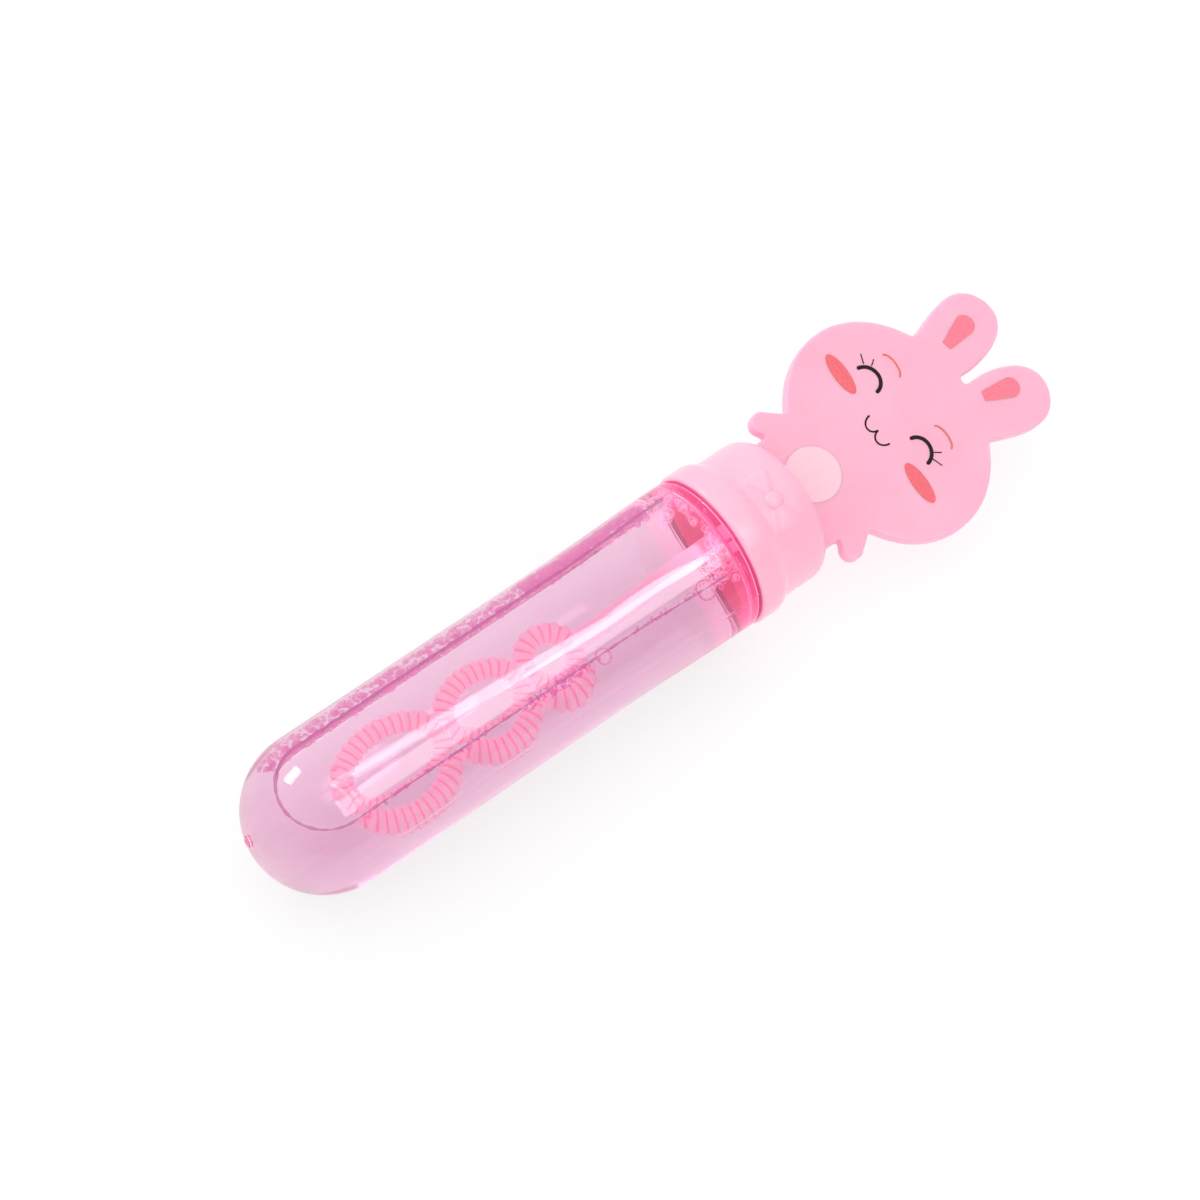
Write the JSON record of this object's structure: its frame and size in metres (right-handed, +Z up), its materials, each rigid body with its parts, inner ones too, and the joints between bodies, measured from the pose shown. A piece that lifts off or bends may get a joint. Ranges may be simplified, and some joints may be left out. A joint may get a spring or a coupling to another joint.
{
  "type": "bubble blower",
  "caption": "Clear round-ended tube of bubble solution with a screw cap that carries a flat rabbit figure outside and a ribbed ring wand inside.",
  "frame": {"origin": "on the floor under the middle of the blower's length, as it lies on its side", "axes": "+X along the tube's axis from its round end to the figure's ears, +Z up, with the figure's face turned up and leaning towards -Y"},
  "size_m": [0.1728, 0.0434, 0.0308],
  "materials": {
    "clear_tube": "gloss",
    "soap_solution": "gloss",
    "liner_foam": "matte",
    "cap_plastic": "satin",
    "wand_plastic": "satin"
  },
  "bodies": {
    "tube": {"bottle_tube": "clear_tube", "bubble_liquid": "soap_solution"},
    "liner": {"cap_liner": "liner_foam"},
    "cap": {"screw_cap": "cap_plastic", "bubble_wand": "wand_plastic"}
  },
  "joints": [
    {"name": "wand_pull", "type": "slide", "parent": "tube", "child": "liner", "axis": [1, 0, 0], "range_m": [0, 0.11], "deforming": ["bubble_liquid"]},
    {"name": "cap_turn", "type": "hinge", "parent": "liner", "child": "cap", "pos_m": [0.02, 0, 0.0154], "axis": [1, 0, 0], "range_deg": [0, 540], "deforming": ["bubble_liquid"]}
  ]
}
